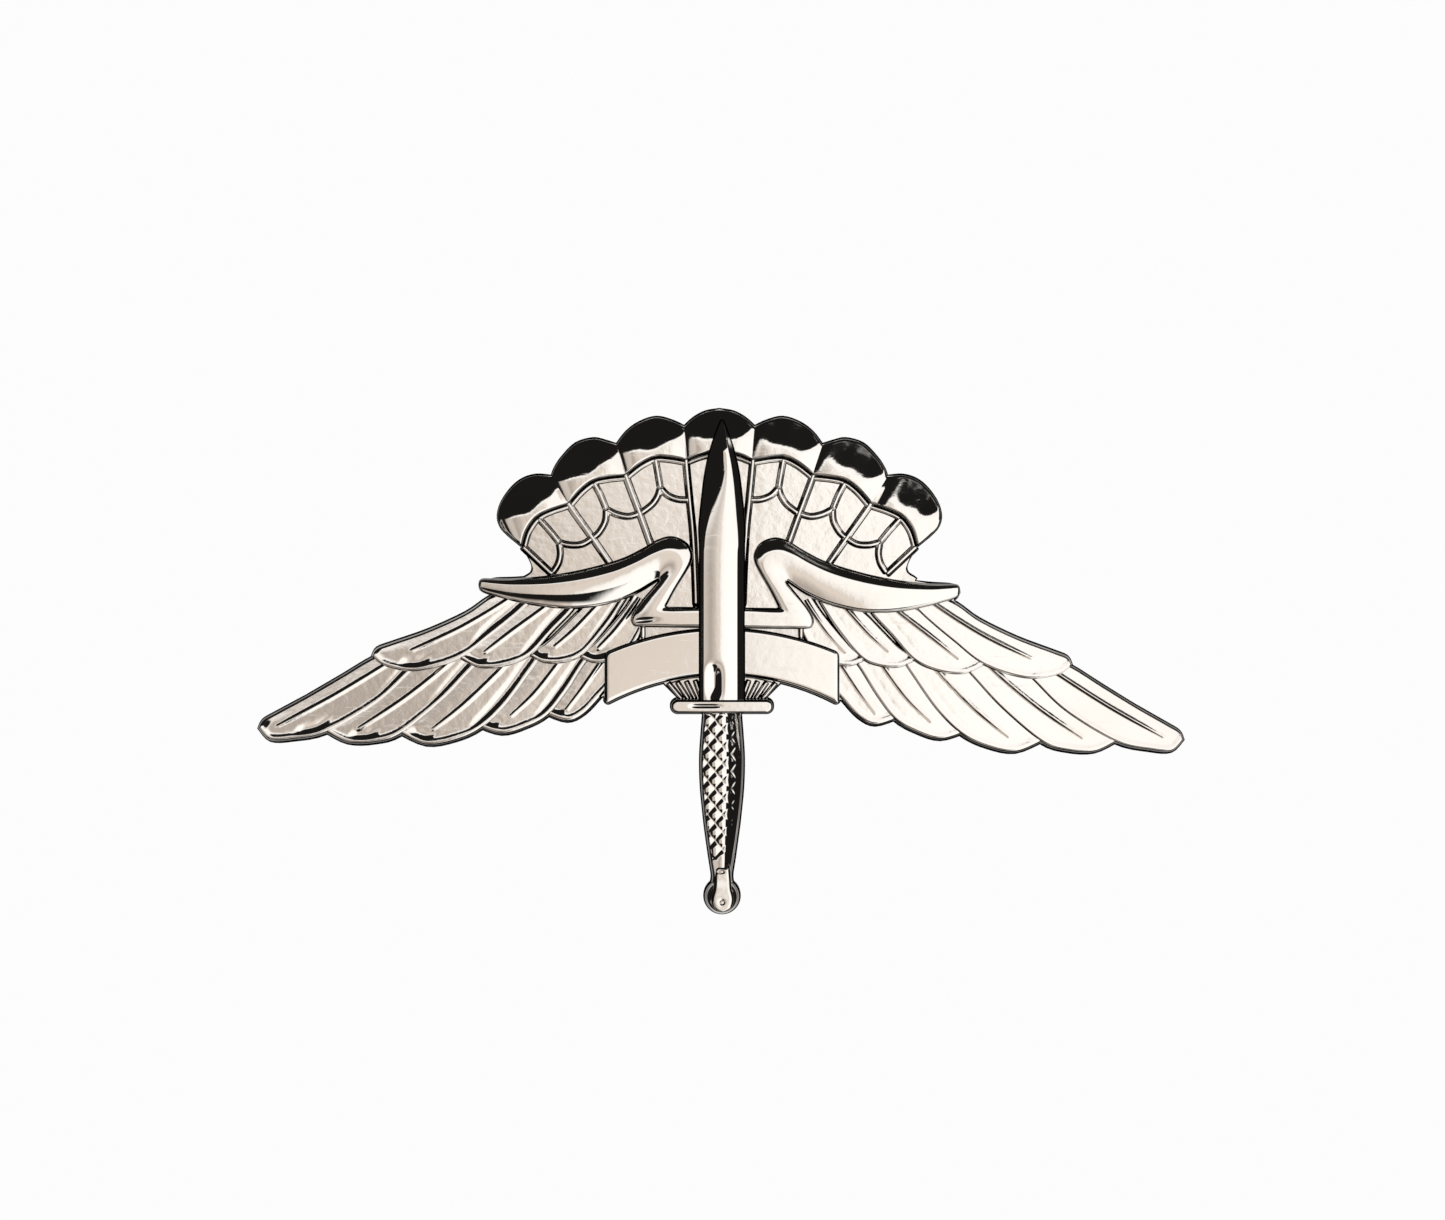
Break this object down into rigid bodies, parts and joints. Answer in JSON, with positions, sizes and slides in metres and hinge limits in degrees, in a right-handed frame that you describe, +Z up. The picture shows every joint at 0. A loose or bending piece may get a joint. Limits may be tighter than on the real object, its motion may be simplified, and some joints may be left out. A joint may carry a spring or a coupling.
{
  "type": "winged dagger breast badge",
  "caption": "Polished metal breast badge: a dagger before a scalloped canopy, two folded wings and a blank arched tab, held to cloth by posts and butterfly clutches.",
  "frame": {"origin": "on the flat back of the backing plate, on the centre line, 0.15 mm below the line of the two posts", "axes": "+X to the viewer's right as seen from the front, +Z up towards the blade's point, +Y out of the back into the cloth; the face looks along -Y"},
  "size_m": [0.0543, 0.0117, 0.0297],
  "materials": {
    "polished_nickel": "mirror polished silver-tone plating over struck brass",
    "nickel_back": "unpolished plated back with fine pebble from the die",
    "post_steel": "drawn and plated wire",
    "clutch_brass": "bright stamped brass"
  },
  "bodies": {
    "badge": {"backing_plate": "nickel_back", "canopy": "polished_nickel", "left_lower_feathers": "polished_nickel", "right_lower_feathers": "polished_nickel", "left_upper_feathers": "polished_nickel", "right_upper_feathers": "polished_nickel", "left_wing_arm": "polished_nickel", "right_wing_arm": "polished_nickel", "arched_tab": "polished_nickel", "ray_fan": "polished_nickel", "dagger_blade": "polished_nickel", "dagger_guard": "polished_nickel", "dagger_grip": "polished_nickel", "dagger_pommel": "polished_nickel", "left_post": "post_steel", "right_post": "post_steel"},
    "left_clutch": {"left_clutch_disc": "clutch_brass", "left_clutch_housing": "clutch_brass"},
    "left_inner_wing": {"left_clutch_inner_wing": "clutch_brass"},
    "left_outer_wing": {"left_clutch_outer_wing": "clutch_brass"},
    "right_clutch": {"right_clutch_disc": "clutch_brass", "right_clutch_housing": "clutch_brass"},
    "right_inner_wing": {"right_clutch_inner_wing": "clutch_brass"},
    "right_outer_wing": {"right_clutch_outer_wing": "clutch_brass"}
  },
  "joints": [
    {"name": "left_clutch_slide", "type": "slide", "parent": "badge", "child": "left_clutch", "axis": [0, 1, 0], "range_m": [-0.0019, 0.0066]},
    {"name": "left_inner_wing_squeeze", "type": "hinge", "parent": "left_clutch", "child": "left_inner_wing", "pos_m": [-0.00895, 0.00415, 0.00015], "axis": [0, 0, 1], "range_deg": [0, 12], "stiffness_Nm_per_rad": 0.01},
    {"name": "left_outer_wing_squeeze", "type": "hinge", "parent": "left_clutch", "child": "left_outer_wing", "pos_m": [-0.01265, 0.00415, 0.00015], "axis": [0, 0, -1], "range_deg": [0, 12], "stiffness_Nm_per_rad": 0.01},
    {"name": "right_clutch_slide", "type": "slide", "parent": "badge", "child": "right_clutch", "axis": [0, 1, 0], "range_m": [-0.0019, 0.0066]},
    {"name": "right_inner_wing_squeeze", "type": "hinge", "parent": "right_clutch", "child": "right_inner_wing", "pos_m": [0.00895, 0.00415, 0.00015], "axis": [0, 0, -1], "range_deg": [0, 12], "stiffness_Nm_per_rad": 0.01},
    {"name": "right_outer_wing_squeeze", "type": "hinge", "parent": "right_clutch", "child": "right_outer_wing", "pos_m": [0.01265, 0.00415, 0.00015], "axis": [0, 0, 1], "range_deg": [0, 12], "stiffness_Nm_per_rad": 0.01}
  ]
}
